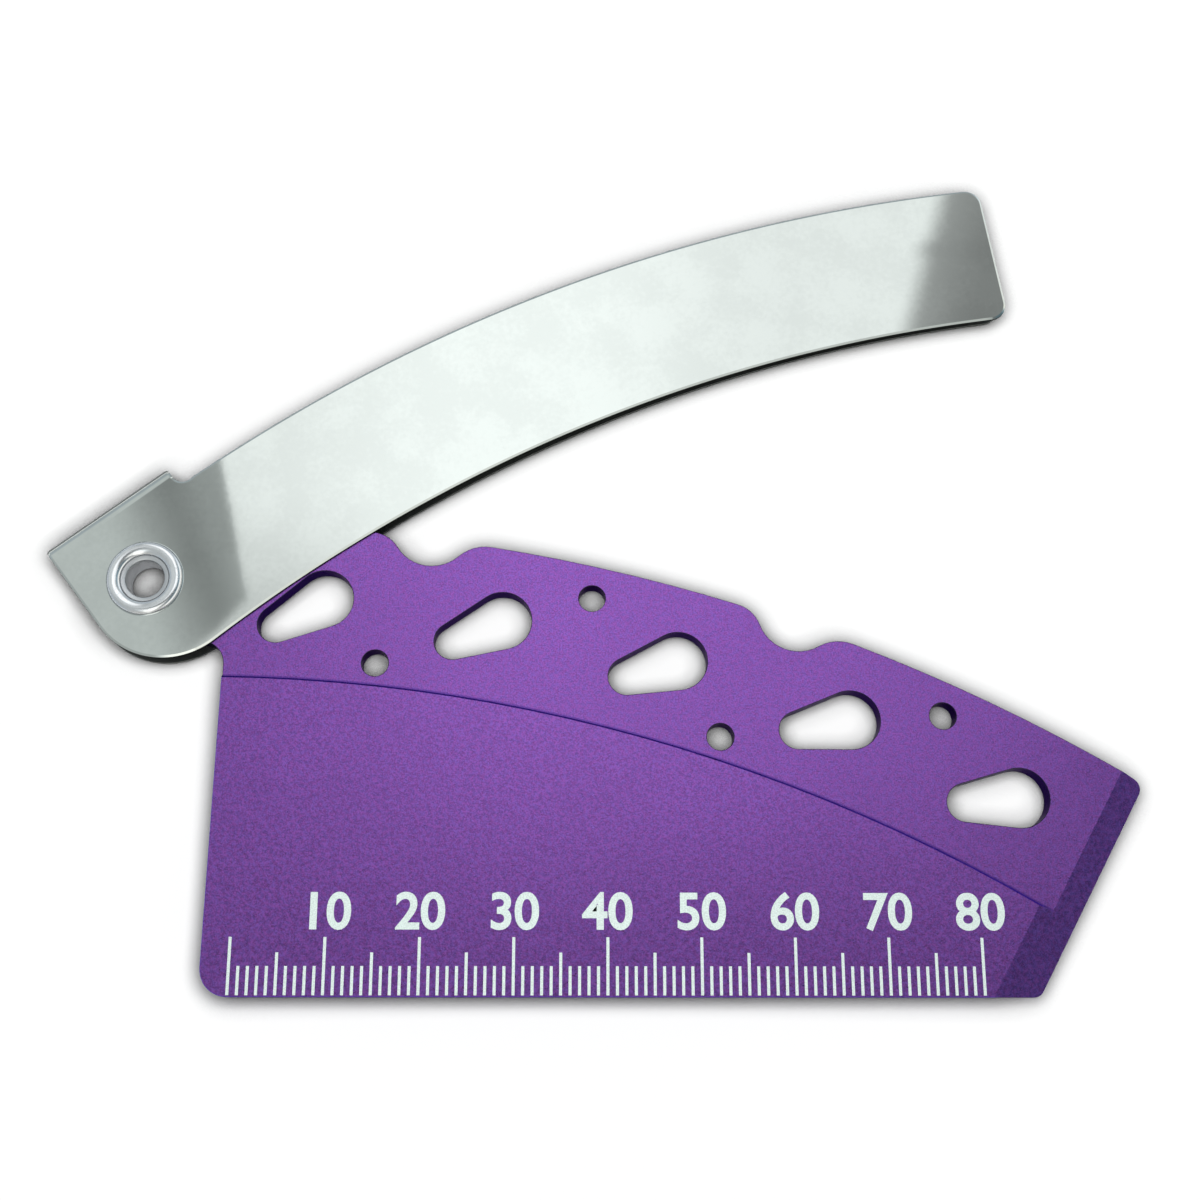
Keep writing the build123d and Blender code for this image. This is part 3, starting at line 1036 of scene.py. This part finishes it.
class GAUGE_OT_rule(bpy.types.Operator):
    """Marks a millimetre rule along the plate's straight edge. Each mark is a flat oblong that
    stands on the rule's line, a millimetre from the last, and each tenth one has its number"""

    bl_idname = "gauge.rule"
    bl_label = "Rule"

    def execute(self, context):
        rule = context.scene.gauge_rule
        marks = np.arange(rule.marks + 1)
        heights = np.where(marks % 10 == 0, rule.long_mark,
                           np.where(marks % 5 == 0, rule.middle_mark, rule.short_mark))
        feet = np.column_stack((rule.start[0] + marks * MM, np.full(len(marks), rule.start[1])))
        oblong = np.array(((-0.5, 0), (0.5, 0), (0.5, 1), (-0.5, 1)))
        spread = oblong[None] * np.stack((np.full(len(marks), rule.line), heights), axis=1)[:, None]
        corners = (feet[:, None] + spread).reshape(-1, 2)

        level = PLATE_TOP + rule.film
        points = [at_height(corners, level)]
        groups = [(np.arange(len(corners)).reshape(-1, 4), False)]
        total = len(corners)
        for mark in range(10, rule.marks + 1, 10):
            flat, triangles = text_faces(str(mark), rule.digit, rule.digit_weight)
            foot = (rule.start[0] + mark * MM, rule.start[1] + rule.long_mark + rule.digit_gap)
            points.append(at_height(flat + foot, level))
            groups.append((faced_up(flat, triangles) + total, False))
            total += len(flat)
        finish = marking_finish(context.scene.gauge_finishes.marking)
        make_piece("etched_rule", np.concatenate(points), groups, finish, "plate")
        return {"FINISHED"}


class GAUGE_PT_sidebar(bpy.types.Panel):
    """The gauge's pieces, one button each"""

    bl_idname = "GAUGE_PT_sidebar"
    bl_label = "Pad spacing gauge"
    bl_space_type = "VIEW_3D"
    bl_region_type = "UI"
    bl_category = "Gauge"

    def draw(self, context):
        for operator in OPERATORS:
            self.layout.operator(operator.bl_idname)
        for name in SETTINGS:
            group = getattr(context.scene, name)
            box = self.layout.box()
            for field in group.__annotations__:
                box.prop(group, field)


OPERATORS = (GAUGE_OT_stage, GAUGE_OT_plate, GAUGE_OT_blades, GAUGE_OT_eyelet, GAUGE_OT_rule)
SETTINGS = {
    "gauge_blades": BladeSizes,
    "gauge_eyelet": EyeletSizes,
    "gauge_rule": RuleSizes,
    "gauge_finishes": Finishes,
    "gauge_studio": Studio,
}


def register():
    """Registers the settings, the operators and the panel."""
    for name, group in SETTINGS.items():
        bpy.utils.register_class(group)
        setattr(bpy.types.Scene, name, PointerProperty(type=group))
    for kind in (*OPERATORS, GAUGE_PT_sidebar):
        bpy.utils.register_class(kind)


def unregister():
    """Takes them away again."""
    for kind in (GAUGE_PT_sidebar, *reversed(OPERATORS)):
        bpy.utils.unregister_class(kind)
    for name, group in reversed(SETTINGS.items()):
        delattr(bpy.types.Scene, name)
        bpy.utils.unregister_class(group)


def main():
    """Makes the whole tool. Its box before is kept in CAD_BOX when the script starts."""
    register()
    bpy.ops.gauge.stage()
    bpy.ops.gauge.plate()
    bpy.ops.gauge.blades()
    bpy.ops.gauge.eyelet()
    bpy.ops.gauge.rule()
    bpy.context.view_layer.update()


if __name__ == "__main__":
    main()
